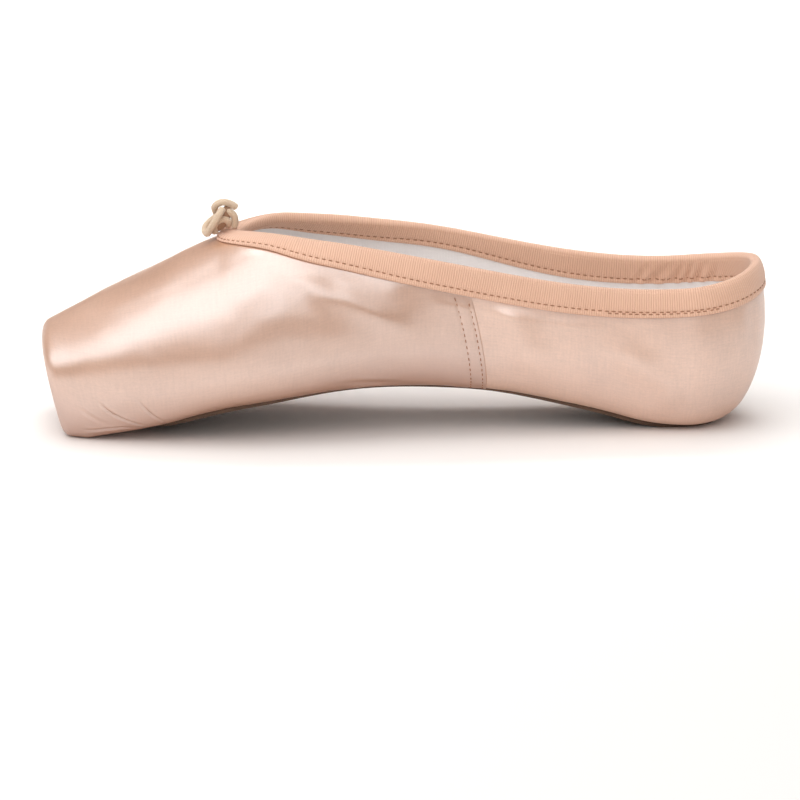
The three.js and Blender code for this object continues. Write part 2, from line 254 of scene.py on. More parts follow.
def walk(at, v, away, distance):
    # goes a distance over the skin in the direction away, in six short steps: each solves how far to
    # move in station and v from the skin's two slopes
    steps = 6
    for _ in range(steps):
        ahead = np.where(at + nudge > backAt, nudge, 2 * nudge)[..., None]
        along = (skin(np.minimum(at + nudge, backAt), v) - skin(at - nudge, v)) / ahead
        rising = (np.minimum(v + nudge, 3) - v + nudge)[..., None]
        across = (skin(at, np.minimum(v + nudge, 3)) - skin(at, v - nudge)) / rising
        aa, ab, bb = (along ** 2).sum(-1), (along * across).sum(-1), (across ** 2).sum(-1)
        da, db = (away * along).sum(-1), (away * across).sum(-1)
        det = aa * bb - ab * ab
        at = np.minimum(at + (da * bb - db * ab) / det * distance / steps, backAt)
        v = np.minimum(v + (db * aa - da * ab) / det * distance / steps, 3)
    return at, v


def flipX(points):
    # the same points on the other side of the shoe
    return points * [-1, 1, 1]


def gridFaces(rows, columns, start, flip):
    # four corners for each cell of a grid of points
    index = start + np.arange(rows * columns).reshape(rows, columns)
    quads = np.stack([index[:-1, :-1], index[:-1, 1:], index[1:, 1:], index[1:, :-1]], -1).reshape(-1, 4)
    return quads[:, ::-1] if flip else quads


welding = {"seam": 2e-6, "sliver": 1e-7}  # in metres: points closer than this become one


def newPiece(name, sheets, materials, sharp=40):
    # joins grids of points into one mesh; a sheet has points in millimetres (rows, columns, 3), uv, flip
    # and slot, and edges sharper than the angle stay crisp
    verts, faces, slots, uvs, start = [], [], [], [], 0
    for sheet in sheets:
        points = np.asarray(sheet["points"], float)
        rows, columns = points.shape[:2]
        quads = gridFaces(rows, columns, start, sheet.get("flip", False))
        verts.append(points.reshape(-1, 3) * mm)
        faces.append(quads)
        slots.append(np.full(len(quads), sheet.get("slot", 0)))
        uvs.append(np.asarray(sheet.get("uv", points[..., :2]), float).reshape(-1, 2) * mm)
        start += rows * columns
    verts, faces, uvs = np.concatenate(verts), np.concatenate(faces), np.concatenate(uvs)
    mesh = bpy.data.meshes.new(name)
    mesh.from_pydata(verts.tolist(), [], faces.tolist())
    mesh.polygons.foreach_set("material_index", np.concatenate(slots).astype(np.int32))
    corners = uvs[faces.reshape(-1)].astype(np.float32)
    mesh.uv_layers.new(name="cloth").data.foreach_set("uv", corners.reshape(-1))
    body = bmesh.new()
    body.from_mesh(mesh)
    bmesh.ops.remove_doubles(body, verts=body.verts, dist=welding["seam"])
    bmesh.ops.dissolve_degenerate(body, edges=body.edges, dist=welding["sliver"])
    limit = np.radians(sharp)
    for edge in body.edges:
        edge.smooth = not (len(edge.link_faces) == 2 and edge.calc_face_angle(0) > limit)
    for face in body.faces:
        face.smooth = True
    body.to_mesh(mesh)
    body.free()
    for material in materials:
        mesh.materials.append(material)
    piece = bpy.data.objects.new(name, mesh)
    bpy.context.collection.objects.link(piece)
    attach(piece, "root")
    return piece


def feed(tree, node, values):
    # sets each named input of a node: a socket is linked, a number or colour is set
    for label, value in values.items():
        socket = node.inputs[label]
        if isinstance(value, bpy.types.NodeSocket):
            tree.links.new(value, socket)
        else:
            socket.default_value = (*value, 1) if socket.type == "RGBA" else value


def addNode(tree, kind, values, **settings):
    # a node with its own settings and inputs; what comes back is its outputs
    node = tree.nodes.new("ShaderNode" + kind)
    for label, value in settings.items():
        setattr(node, label, value)
    feed(tree, node, values)
    return node.outputs


def calc(tree, operation, *values):
    # one Math node; each value is a number or a socket
    return addNode(tree, "Math", dict(enumerate(values)), operation=operation)[0]


def about(tree, value, middle, gain, base):
    # base plus gain times how far the value is from its middle
    return calc(tree, "MULTIPLY_ADD", calc(tree, "SUBTRACT", value, middle), gain, base)


def noise(tree, vector, scale, detail=1.0):
    # cloudy noise from 0 to 1; more detail adds finer clouds
    values = {"Vector": vector, "Scale": scale, "Detail": detail, "Roughness": 0.55}
    return addNode(tree, "TexNoise", values)["Fac"]


def stretched(tree, vector, factors):
    # coordinates multiplied axis by axis: a small factor draws the pattern out along that axis
    return addNode(tree, "VectorMath", {0: vector, 1: factors}, operation="MULTIPLY")[0]


def apart(tree, vector):
    # the three numbers of a vector
    return addNode(tree, "SeparateXYZ", {0: vector})


def mixColor(tree, factor, first, second):
    # the first colour at 0 and the second at 1
    return addNode(tree, "Mix", {"Factor": factor, "A": first, "B": second}, data_type="RGBA")["Result"]


def bump(tree, height, distance, strength, **below):
    # a normal from a height, on top of the Normal below it
    values = {"Height": height, "Distance": distance, "Strength": strength, **below}
    return addNode(tree, "Bump", values)["Normal"]


def clothUv(tree):
    # the cloth's own lengths in metres, along it and across it
    return addNode(tree, "UVMap", {}, uv_map="cloth")["UV"]


def onPiece(tree):
    # the piece's own coordinates
    return addNode(tree, "TexCoord", {})["Object"]


def newGroup(name, inputs, outputs):
    # an empty node group that takes a vector and named numbers, and puts out named numbers
    group = bpy.data.node_groups.new(name, "ShaderNodeTree")
    group.interface.new_socket(name="Vector", in_out="INPUT", socket_type="NodeSocketVector")
    for label, value in inputs.items():
        socket = group.interface.new_socket(name=label, in_out="INPUT", socket_type="NodeSocketFloat")
        socket.default_value = value
    for label in outputs:
        group.interface.new_socket(name=label, in_out="OUTPUT", socket_type="NodeSocketFloat")
    return group, group.nodes.new("NodeGroupInput").outputs, group.nodes.new("NodeGroupOutput")


def useGroup(tree, group, vector, **values):
    # places a shared group on the given coordinates with its own values
    return addNode(tree, "Group", {"Vector": vector, **values}, node_tree=group)


def makeWeaveGroup():
    # threads along u crossed by threads along v as two sine waves, each thread a little uneven
    group, given, result = newGroup("clothWeave", {"Pitch": 0.0004, "Crossing": 0.5}, ["Height", "Slub"])
    parts = apart(group, given["Vector"])
    turn = calc(group, "DIVIDE", 2 * np.pi, given["Pitch"])
    warp = calc(group, "SINE", calc(group, "MULTIPLY", parts["X"], turn))
    weft = calc(group, "SINE", calc(group, "MULTIPLY", parts["Y"], turn))
    crossed = calc(group, "MULTIPLY_ADD", weft, given["Crossing"], warp)
    slub = noise(group, stretched(group, given["Vector"], (1, 6, 1)), 500, 2)
    feed(group, result, {"Height": about(group, slub, 0.5, 2.0, crossed), "Slub": slub})
    return group


def makeRibGroup():
    # round ribs across the tape, as the absolute value of a sine; Valley is 1 between two ribs
    group, given, result = newGroup("ribs", {"Pitch": 0.0006}, ["Height", "Valley"])
    drift = noise(group, given["Vector"], 60, 2)
    along = calc(group, "MULTIPLY_ADD", drift, 0.0004, apart(group, given["Vector"])["X"])
    turn = calc(group, "DIVIDE", np.pi, given["Pitch"])
    height = calc(group, "ABSOLUTE", calc(group, "SINE", calc(group, "MULTIPLY", along, turn)))
    valley = calc(group, "POWER", calc(group, "SUBTRACT", 1.0, height), 3.0)
    feed(group, result, {"Height": height, "Valley": valley})
    return group


def makeMottleGroup():
    # broad uneven tone, from 0 to 1 about the middle: clouds spread by the contrast and clamped
    group, given, result = newGroup("mottle", {"Scale": 40.0, "Contrast": 1.0}, ["Value"])
    cloud = noise(group, given["Vector"], given["Scale"], 4)
    spread = about(group, cloud, 0.5, given["Contrast"], 0.5)
    feed(group, result, {"Value": addNode(group, "Clamp", {0: spread})[0]})
    return group


weaveGroup, ribGroup, mottleGroup = makeWeaveGroup(), makeRibGroup(), makeMottleGroup()


def newMaterial(name, values):
    # a Principled material with constants set on the shader's own sockets
    material = bpy.data.materials.new(name)
    material.use_nodes = True
    tree = material.node_tree
    shader = tree.nodes["Principled BSDF"]
    feed(tree, shader, values)
    return material, tree, shader


# margin is painted shade: the cloth's colour deepens where it turns under towards the sole, between two
# lengths from the middle of the underside, in metres; the three scales say how many clouds, threads and
# grains there are to a metre
satinLook = {
    "light": (0.64, 0.355, 0.225), "dark": (0.51, 0.262, 0.152), "margin": (0.40, 0.165, 0.08),
    # the quarters' two colours are the same satin painted paler, as painted light for their brighter sheen
    "quarterLightWithPaintedSheen": (0.77, 0.44, 0.285), "quarterDarkWithPaintedSheen": (0.60, 0.325, 0.20), "paintedShadeSpan": (0.024, 0.043),
    "roughness": 0.33, "anisotropy": 0.55, "sheen": 0.06, "ior": 3.4, "shine": (0.93, 0.97, 1.0),
    "threadPitch": 0.00025, "threadScale": 1500, "grainScale": 1700, "cloudScale": 45.0, "contrast": 1.7,
}


def makeSatin(name, turn, light, dark, margin):
    # a strong clear shine over a soft colour, drawn out along the threads; turn is the shine's direction
    # in whole turns, and the tone is the sum of broad clouds, threads both ways and grain; margin is how
    # strongly painted shade darkens the colour towards the sole
    look = satinLook
    material, tree, shader = newMaterial(name, {
        "Anisotropic": look["anisotropy"], "Anisotropic Rotation": turn, "IOR": look["ior"],
        "Specular Tint": look["shine"], "Sheen Weight": look["sheen"], "Sheen Roughness": 0.4,
        "Sheen Tint": (1.0, 0.9, 0.85),
    })
    uv = clothUv(tree)
    clouds = useGroup(tree, mottleGroup, uv, Scale=look["cloudScale"], Contrast=look["contrast"])["Value"]
    lengthwise = noise(tree, stretched(tree, uv, (0.10, 1, 1)), look["threadScale"])
    upright = noise(tree, stretched(tree, uv, (1, 0.10, 1)), look["threadScale"])
    grain = noise(tree, stretched(tree, uv, (0.7, 1, 1)), look["grainScale"])
    threads = calc(tree, "MULTIPLY_ADD", calc(tree, "ADD", lengthwise, upright), 0.75, -0.70)
    streaks = calc(tree, "MULTIPLY_ADD", grain, 0.9, threads)
    color = mixColor(tree, about(tree, streaks, 0.5, 1.1, clouds), dark, light)
    start, end = look["paintedShadeSpan"]
    # painted shade: near the sole the colour turns towards the margin colour, by the margin's strength
    under = addNode(tree, "MapRange", {
        "Value": calc(tree, "ABSOLUTE", apart(tree, uv)["Y"]), "From Min": start, "From Max": end,
        "To Min": margin, "To Max": 0.0}, interpolation_type="SMOOTHSTEP")["Result"]
    weave = useGroup(tree, weaveGroup, uv, Pitch=look["threadPitch"], Crossing=0.25)
    fine = bump(tree, weave["Height"], 0.00001, 0.4)
    feed(tree, shader, {
        "Base Color": mixColor(tree, under, color, look["margin"]),
        "Roughness": about(tree, clouds, 0.5, 0.08, look["roughness"]),
        "Normal": bump(tree, streaks, 0.00004, 0.25, Normal=fine),
        "Tangent": addNode(tree, "Tangent", {}, direction_type="UV_MAP", uv_map="cloth")["Tangent"],
    })
    return material


# valley is painted shade, the colour between two ribs, and also the darker end of the tape's faint clouds
tapeLook = {"rib": (0.76, 0.49, 0.36), "valley": (0.55, 0.285, 0.18), "pitch": 0.00074, "roughness": 0.72,
            # the glow colour and strength are painted light: the tape glows a little
            "through": (1.0, 0.50, 0.28), "paintedGlow": 0.085}


def makeTape():
    # ribs with painted shade in their valleys, and faint clouds; the glow is painted light, an orange
    # self-light that brightens the tape
    look = tapeLook
    material, tree, shader = newMaterial("ribbedTape", {
        "Sheen Weight": 0.3, "Sheen Roughness": 0.5,
        "Emission Color": look["through"], "Emission Strength": look["paintedGlow"],
    })
    uv = clothUv(tree)
    ribs = useGroup(tree, ribGroup, uv, Pitch=look["pitch"])
    clouds = useGroup(tree, mottleGroup, uv, Scale=70.0, Contrast=1.0)["Value"]
    # painted shade: the valleys between the ribs take the darker colour
    color = mixColor(tree, ribs["Valley"], look["rib"], look["valley"])
    weave = useGroup(tree, weaveGroup, uv, Pitch=0.0003, Crossing=1.0)
    fine = bump(tree, weave["Height"], 0.00003, 0.4)
    feed(tree, shader, {
        "Base Color": mixColor(tree, calc(tree, "MULTIPLY", clouds, 0.35), color, look["valley"]),
        "Roughness": calc(tree, "MULTIPLY_ADD", ribs["Valley"], 0.15, look["roughness"]),
        "Normal": bump(tree, ribs["Height"], 0.00016, 0.9, Normal=fine),
    })
    return material


# glow is painted light: the cloth glows a little in its own colour, standing in for light that hardly reaches
# inside the shoe
cottonLooks = {
    "liningCotton": {"light": (0.82, 0.785, 0.775), "dark": (0.76, 0.72, 0.70), "paintedGlow": 0.16},
    "sockCotton": {"light": (0.62, 0.58, 0.52), "dark": (0.50, 0.46, 0.41), "paintedGlow": 0.0},
}


def makeCotton(name):
    # plain weave, matt, with faint clouds and a painted glow
    look = cottonLooks[name]
    material, tree, shader = newMaterial(name, {
        "Sheen Weight": 0.15, "Sheen Roughness": 0.6,
        "Emission Color": look["light"], "Emission Strength": look["paintedGlow"],
    })
    uv = clothUv(tree)
    weave = useGroup(tree, weaveGroup, uv, Pitch=0.0005, Crossing=1.0)
    clouds = useGroup(tree, mottleGroup, uv, Scale=55.0, Contrast=1.4)["Value"]
    feed(tree, shader, {
        "Base Color": mixColor(tree, clouds, look["dark"], look["light"]),
        "Roughness": calc(tree, "MULTIPLY_ADD", weave["Slub"], 0.15, 0.78),
        "Normal": bump(tree, weave["Height"], 0.00006, 0.6),
    })
    return material


leatherLook = {"leather": (0.10, 0.058, 0.038), "worn": (0.24, 0.15, 0.10), "roughness": 0.58}


def makeLeather():
    # clouds times lengthwise scuffs show the worn colour, over the fine cells of the hide
    look = leatherLook
    material, tree, shader = newMaterial("soleLeather", {"Specular IOR Level": 0.35})
    clouds = useGroup(tree, mottleGroup, onPiece(tree), Scale=60.0, Contrast=1.6)["Value"]
    scuff = noise(tree, stretched(tree, onPiece(tree), (1, 0.15, 1)), 700, 4)
    worn = calc(tree, "MULTIPLY", clouds, scuff)
    cells = addNode(tree, "TexVoronoi", {"Vector": onPiece(tree), "Scale": 1400})["Distance"]
    feed(tree, shader, {
        "Base Color": mixColor(tree, worn, look["leather"], look["worn"]),
        "Roughness": calc(tree, "MULTIPLY_ADD", scuff, 0.2, look["roughness"]),
        "Normal": bump(tree, cells, 0.0001, 0.5),
    })
    return material


# knotShade is painted shade: the dark colour of the knot's core
threadColors = {"brownThread": (0.28, 0.12, 0.06), "knotShade": (0.27, 0.15, 0.085)}


def makeThread(name):
    # flecks between the thread's colour and a paler one
    color = threadColors[name]
    material, tree, shader = newMaterial(name, {"Sheen Weight": 0.2})
    fleck = noise(tree, onPiece(tree), 2500, 2)
    pale = tuple(min(1, part * 1.5) for part in color)
    feed(tree, shader, {"Base Color": mixColor(tree, fleck, color, pale),
                        "Roughness": calc(tree, "MULTIPLY_ADD", fleck, 0.2, 0.55)})
    return material


# the last number is the strength of the painted shade towards the sole
satin = makeSatin("satin", 0.0, satinLook["light"], satinLook["dark"], 0.75)
# the quarters take the paler colours: painted light for their brighter sheen
quarterSatin = makeSatin("quarterSatin", 0.25, satinLook["quarterLightWithPaintedSheen"], satinLook["quarterDarkWithPaintedSheen"], 0.2)
tape = makeTape()
liningCotton, sockCotton = makeCotton("liningCotton"), makeCotton("sockCotton")
leather = makeLeather()
brownThread, knotShade = makeThread("brownThread"), makeThread("knotShade")
print("materials ready")

# hollow is painted shade: the darker colour where the weave's uneven slubs sink
cordLook = {"diameter": 0.0023, "color": (1.0, 0.84, 0.64), "hollow": (0.74, 0.48, 0.30), "pitch": 0.0007}


def makeCordCotton():
    # plain weave wound round the cord; painted shade makes it darker where the weave's uneven slubs sink
    look = cordLook
    material, tree, shader = newMaterial("cordCotton", {"Sheen Weight": 0.3, "Sheen Roughness": 0.5})
    weave = useGroup(tree, weaveGroup, clothUv(tree), Pitch=look["pitch"], Crossing=1.0)
    feed(tree, shader, {
        "Base Color": mixColor(tree, weave["Slub"], look["hollow"], look["color"]),
        "Roughness": calc(tree, "MULTIPLY_ADD", weave["Slub"], 0.2, 0.65),
        "Normal": bump(tree, weave["Height"], 0.00012, 0.8),
    })
    return material


# the same points as the part's own routes, in metres
cordRoutes = {
    "drawstring-front": [
        (0, -0.0612, 0.0625), (0, -0.0613, 0.0636), (0.0002, -0.0612, 0.0648),
        (0.0006, -0.0608, 0.0662), (0.0013, -0.0597, 0.0676), (0.0015, -0.0582, 0.068),
        (0.0009, -0.0571, 0.0672), (-0.0008, -0.057, 0.0657), (-0.0029, -0.0582, 0.0656),
        (-0.0037, -0.0598, 0.0673), (-0.0033, -0.061, 0.0694), (-0.0015, -0.0613, 0.0714),
        (0, -0.0601, 0.0729), (0.0006, -0.0582, 0.0734), (0.0004, -0.0563, 0.0728),
        (0.0002, -0.055, 0.072), (0, -0.054, 0.0713),
    ],
    "drawstring-back": [
        (-0.0003, -0.0554, 0.0646), (0, -0.0549, 0.066), (0.0003, -0.0548, 0.0676),
        (0.0007, -0.0554, 0.0693), (0.0007, -0.0569, 0.0703), (-0.0004, -0.0584, 0.0698),
        (-0.001, -0.0598, 0.0688), (-0.0014, -0.0614, 0.0677), (-0.0015, -0.0631, 0.0663),
        (-0.001, -0.0643, 0.0649), (0, -0.0645, 0.0637), (0.0011, -0.0638, 0.0632),
        (0.0022, -0.0628, 0.0649), (0.0032, -0.0616, 0.0671), (0.0035, -0.0602, 0.0696),
        (0.003, -0.0592, 0.0711), (0.0023, -0.0585, 0.072),
    ],
}
cordGrid = {"steps": 161, "around": 33, "twist": 0.00042, "braid": 0.035, "strands": 4, "endRun": 0.5}


def throughPoints(points, steps):
    # centripetal curve through every point: each stretch leans on its two neighbours
    points = np.asarray(points, float)
    padded = np.vstack([2 * points[0] - points[1], points, 2 * points[-1] - points[-2]])
    knots = np.concatenate([[0], np.cumsum(np.linalg.norm(np.diff(padded, axis=0), axis=1) ** 0.5)])
    t = np.linspace(knots[1], knots[-2], steps)
    i = np.clip(np.searchsorted(knots, t, side="right") - 1, 1, len(points) - 1)
    k = [knots[i + j][:, None] for j in (-1, 0, 1, 2)]
    p = [padded[i + j] for j in (-1, 0, 1, 2)]
    t = t[:, None]
    def blend(first, second, before, after):
        # from the first value at one knot to the second at the other
        return (after - t) / (after - before) * first + (t - before) / (after - before) * second
    a = [blend(p[j], p[j + 1], k[j], k[j + 1]) for j in range(3)]
    b = [blend(a[j], a[j + 1], k[j], k[j + 2]) for j in range(2)]
    return blend(b[0], b[1], k[1], k[2])


def carriedSides(path):
    # two directions square to the path at each point, each carried from the last with no twist
    tangent = unit(np.gradient(path, axis=0))
    side = np.zeros_like(path)
    side[0] = unit(np.cross(tangent[0], [0.3, 0.9, 0.2]))
    for i in range(1, len(path)):
        side[i] = unit(side[i - 1] - tangent[i] * (side[i - 1] @ tangent[i]))
    return side, np.cross(tangent, side)


def makeCord(name, material):
    # a circle carried along the route, with a low braid of two crossing spirals; its ends close as a
    # square root of the distance to them
    grid = cordGrid
    path = throughPoints(cordRoutes[name], grid["steps"])
    side, other = carriedSides(path)
    length = running(path)
    angle = np.linspace(0, 2 * np.pi, grid["around"])
    radius = cordLook["diameter"] / 2
    along = length[:, None]
    turn, strand = along / grid["twist"], grid["strands"] * angle
    braid = grid["braid"] * radius * (np.sin(strand + turn) * np.sin(strand - turn))
    ends = np.sqrt(np.clip(np.minimum(along, length[-1] - along) / (radius * grid["endRun"]), 0.0, 1))
    reach = ((radius + braid) * np.maximum(ends, 0.02))[..., None]
    circle = side[:, None] * np.cos(angle)[:, None] + other[:, None] * np.sin(angle)[:, None]
    caps = [np.repeat(path[k, None, None], len(angle), 1) for k in (0, -1)]
    points = np.concatenate([caps[0], path[:, None] + circle * reach, caps[1]])
    u, v = np.broadcast_arrays(along / mm, angle * radius / mm)
    spiral = np.stack([u + v, u - v], -1)
    uv = np.concatenate([spiral[:1], spiral, spiral[-1:]])
    piece = newPiece(name + "-cord", [{"points": points / mm, "uv": uv, "flip": True}], [material], 80)
    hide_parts(name)


# the strands pulled in between the visible ones, as one leaning egg painted dark as the shade in the
# knot's gaps: centre and half sizes in metres, and how far it leans back for each metre up
knotCore = {"centre": (0, -0.0586, 0.068), "half": (0.0021, 0.0023, 0.0043), "lean": 0.36}


def makeKnotCore():
    # points of an ellipsoid over two angles, sheared along the shoe
    polar, around = np.meshgrid(np.linspace(0, np.pi, 25), np.linspace(0, 2 * np.pi, 33), indexing="ij")
    ball = np.stack([np.sin(polar) * np.cos(around), np.sin(polar) * np.sin(around), np.cos(polar)], -1)
    offset = ball * knotCore["half"]
    offset[..., 1] += offset[..., 2] * knotCore["lean"]
    points = np.array(knotCore["centre"]) + offset
    uv = np.stack([around, polar], -1) * 2
    # painted shade: the core takes the dark knotShade colour
    piece = newPiece("knot-core", [{"points": points / mm, "uv": uv, "flip": True}], [knotShade], 180)


cordCotton = makeCordCotton()
for cordName in cordRoutes:
    makeCord(cordName, cordCotton)
makeKnotCore()
print("drawstring ready")

# two stitch rows, rowGap apart, and the quarter's folded edge foldGap behind the front row; the seam
# leans forward above level, the grid's rows bend towards it within reach, and step is the fold's height
seam = {"foot": 20.6, "bend": 0.0324, "level": 17.6, "rowGap": 3.8, "foldGap": 5.0, "reach": 34.0,
        "step": 0.4, "rise": (18, 5), "groove": 0.17, "grooveWidth": 0.55}

# the folded tape, in millimetres: thickness, width of each leg, their width at the throat and the run
# they grow over, the inside leg's dip, the bead's height at the throat and behind it, the strip below the
# stitch row, and how far the tape puffs, sinks at its stitches and tucks in at its end
tapeShape = {
    "thick": 0.6, "outside": 8.5, "inside": 9.0, "throat": 3.0, "draw": 30,
    "dip": 2.7, "dipAt": 12, "dipRun": 32, "beadThroat": 4.9, "beadBack": 0.95, "beadRun": 20,
    "beadFoot": 0.45, "beadRound": 2.2, "strip": 1.9, "throatStrip": 0.7, "puff": 0.3, "groove": 0.22,
    "grooveWidth": 0.35, "tuck": 0.45, "tuckRun": 0.5, "stations": 700,
    "rows": {"outside": 26, "bead": 17, "inside": 24},
}

# troughs and ridges: points are (station, v), width and depth in millimetres; a negative
# depth is a ridge, shift moves the same fold on the far side so that the two sides aren't twins, and
# hold gives the shares of its length between which a fold has its full depth
folds = [
    {"points": [(-98.6, 1.97), (-97.4, 1.89), (-95, 1.74), (-92.5, 1.63), (-88.7, 1.49), (-85, 1.36),
                (-80, 1.2)],
     "width": 0.45, "depth": 0.5, "shift": (3.0, 0.04)},
    {"points": [(-86, 1.86), (-84.3, 1.75), (-81.4, 1.56), (-78, 1.36), (-75.5, 1.22)],
     "width": 0.42, "depth": 0.45, "shift": (-3.5, -0.03)},
    {"points": [(-105.6, 1.52), (-101.8, 1.42), (-95.5, 1.38), (-90, 1.35), (-85, 1.26)],
     "width": 0.6, "depth": 0.5, "shift": (2.0, 0.08)},
    {"points": [(-104.2, 1.88), (-103.2, 1.8), (-99.8, 1.65), (-97.4, 1.56), (-93, 1.45)],
     "width": 0.7, "depth": 0.25, "shift": (4.0, -0.05)},
    {"points": [(-42, 2.55), (-34, 2.42), (-26, 2.31), (-18, 2.24), (-10, 2.15), (-2, 2.07), (4, 2.02)],
     "width": 4.2, "depth": -1.0, "shift": (6.0, 0.05), "hold": (0.28, 0.7)},
    {"points": [(27, 2.36), (32, 2.15), (38, 1.93), (45, 1.71), (52, 1.52)],
     "width": 5.5, "depth": -1.3, "shift": (3.0, 0.0), "hold": (0.35, 0.6)},
    {"points": [(60, 2.05), (68, 1.96), (76, 1.84), (84, 1.62)],
     "width": 5.2, "depth": -1.4, "shift": (-4.0, 0.1)},
    {"points": [(82, 1.85), (84, 1.74), (85.4, 1.5), (86, 1.35)],
     "width": 3.5, "depth": -0.8, "shift": (3.0, 0.0)},
    {"points": [(113, 2.4), (115, 2.17), (115.4, 1.98), (112.5, 1.75)],
     "width": 3.0, "depth": 0.45, "shift": (-6.0, 0.0)},
    {"points": [(-60.5, 2.93), (-64, 2.9)],
     "width": 1.2, "depth": 0.15, "shift": (0.0, 0.0)},
    {"points": [(-22, 1.5), (-12, 1.4), (0, 1.32)],
     "width": 1.5, "depth": 0.35, "shift": (-4.0, 0.05)},
]
foldHold = (0.4, 0.55)
foldLip = {"below": 2, "height": 0.4, "away": 1.8}  # only folds narrower than this have a lip

# gathers that run out from the front of the sole, in millimetres from their own centre
pleats = {"centre": 74.0, "inner": 11.5, "outer": 27.0, "count": 13, "depth": 0.45}

# seed, size in millimetres and height of the cloth's waviness
waves = [(11, 34, 0.22), (5, 9, 0.035)]


def seamAt(z):
    # station of the side seam's front stitch row at a height
    return seam["foot"] - seam["bend"] * np.maximum(z - seam["level"], 0) ** 1.5


def alongSeam(station, v):
    # bends the grid's rows near the side seam so that one row lies on its folded edge
    z = skin(station, v)[..., 2]
    near = np.exp(-((station - seam["foot"]) / seam["reach"]) ** 2)
    return station + (seamAt(z) - seam["foot"]) * near


def seamStation(at, points):
    # the side seam's front row has this station at each point's height, and fades out far from it
    near = np.exp(-((at - seam["foot"]) / seam["reach"]) ** 2)
    return seam["foot"] + (seamAt(points[..., 2]) - seam["foot"]) * np.where(near > 0.2, 1, near / 0.2)


def distanceTo(points, line):
    # shortest distance to a line of points, and how far along it the nearest place is, 0 to 1
    best = np.full(points.shape[:-1], 1e9)
    where = np.zeros_like(best)
    before = running(line)
    for i, length in enumerate(np.diff(before)):
        step = line[i + 1] - line[i]
        t = np.clip(((points - line[i]) @ step) / length ** 2, 0, 1)
        distance = np.linalg.norm(points - line[i] - t[..., None] * step, axis=-1)
        nearer = distance < best
        best = np.where(nearer, distance, best)
        where = np.where(nearer, (before[i] + t * length) / before[-1], where)
    return best, where


def foldRelief(points, side):
    # each fold is a soft bell across its line that fades out at its ends, and a narrow one has a low lip
    height = np.zeros(points.shape[:-1])
    for fold in folds:
        width = fold["width"]
        shift = (0, 0) if side > 0 else fold["shift"]
        stations, heights = np.array(fold["points"], float).T
        line = throughPoints(skin(stations + shift[0], np.minimum(heights + shift[1], 2.99)), 24)
        along, margin = points[..., 1], 4 * width
        near = (along > line[:, 1].min() - margin) & (along < line[:, 1].max() + margin)
        distance, where = distanceTo(points[near], line)
        start, end = fold.get("hold", foldHold)
        fade = smooth(where, 0, start) * (1 - smooth(where, end, 1))
        bell = np.exp(-(distance / width) ** 2)
        if width < foldLip["below"]:
            bell = bell - foldLip["height"] * np.exp(-((distance - foldLip["away"] * width) / width) ** 2)
        height[near] -= fold["depth"] * fade * bell
    return height


def softWaves(points, seed, size, count=24):
    # a sum of long sine waves in random directions
    chance = np.random.default_rng(seed)
    total = np.zeros(points.shape[:-1])
    for _ in range(count):
        direction = unit(chance.normal(size=3)) * 2 * np.pi / (size * chance.uniform(0.7, 1.8))
        total += np.sin(points @ direction + chance.uniform(0, 2 * np.pi))
    return total / np.sqrt(count)


def solePleats(points, v):
    # fine gathers fanned round their centre, deepest at the sole's edge
    across, along = points[..., 0], -(points[..., 1] + pleats["centre"])
    radius = np.hypot(across, along)
    angle = np.arctan2(across, along)
    fan = np.abs(np.sin(angle * pleats["count"] + 0.6 * np.sin(3 * angle)))
    inner, outer = pleats["inner"], pleats["outer"]
    fade = smooth(radius, inner, inner + 2) * (1 - smooth(radius, inner + 3, outer))
    return -pleats["depth"] * (1 - fan) ** 2 * fade * smooth(along, -4, 4) * (1 - smooth(v, 1.1, 1.6))


def tapeDrawn(at):
    # 0 at the throat and 1 where the tape has its full width, as a quarter of a sine wave
    return np.sin(np.clip((at - shoe["throatY"]) / tapeShape["draw"], 0, 1) * np.pi / 2)


def tapeLeg(at, leg):
    # width of a leg: it grows from the throat, and the inside leg dips along the waist
    dip = tapeShape["dip"] * np.exp(-((at - tapeShape["dipAt"]) / tapeShape["dipRun"]) ** 2)
    full = tapeShape[leg] - (dip if leg == "inside" else 0)
    return tapeShape["throat"] + (full - tapeShape["throat"]) * tapeDrawn(at)


def tapeRow(at, leg):
    # distance of the stitch row from the collar's edge: the strip below it is narrow at the throat
    strip = tapeShape["throatStrip"] + (tapeShape["strip"] - tapeShape["throatStrip"]) * tapeDrawn(at)
    return tapeLeg(at, leg) - strip


def edgeDistance(at, points):
    # from the collar's edge at the same station, or in front of the throat from its foremost point
    nearest = np.where((at > shoe["throatY"])[..., None], skin(at, collarV(at)), skin(shoe["throatY"], 3))
    return np.linalg.norm(points - nearest, axis=-1)


def seamRise(front):
    # the quarter's lap swells gently before the seam and stays to its folded edge
    return smooth(front, seam["foldGap"] - seam["rise"][0], seam["foldGap"] - seam["rise"][1])


def satinRelief(at, v, points, side):
    # folds, waviness, the lap of the side seam, stitch grooves and pleats, in millimetres; it is level
    # under the tape and the sole, and a soft floor keeps its hollows clear of the lining
    height = foldRelief(points, side)
    for seed, size, tall in waves:
        height += tall * softWaves(points * [side, 1, 1], seed, size)
    front = at - seamStation(at, points)
    lapEnd = 1 - smooth(front, seam["foldGap"] - 0.15, seam["foldGap"] + 0.15)
    height += seam["step"] * lapEnd * seamRise(front)
    for row in (0, seam["rowGap"]):
        height -= seam["groove"] * np.exp(-((front - row) / seam["grooveWidth"]) ** 2)
    quiet = smooth(edgeDistance(at, points) - tapeLeg(at, "outside"), 0.3, 4.5)
    height = height * quiet * smooth(v, 0.95, 1.2) * smooth(at, shoe["toeY"] + shoe["platformFillet"], -101)
    height = height + solePleats(points, v)
    return np.where(height < 0, -satinGrid["hollow"] * np.tanh(-height / satinGrid["hollow"]), height)


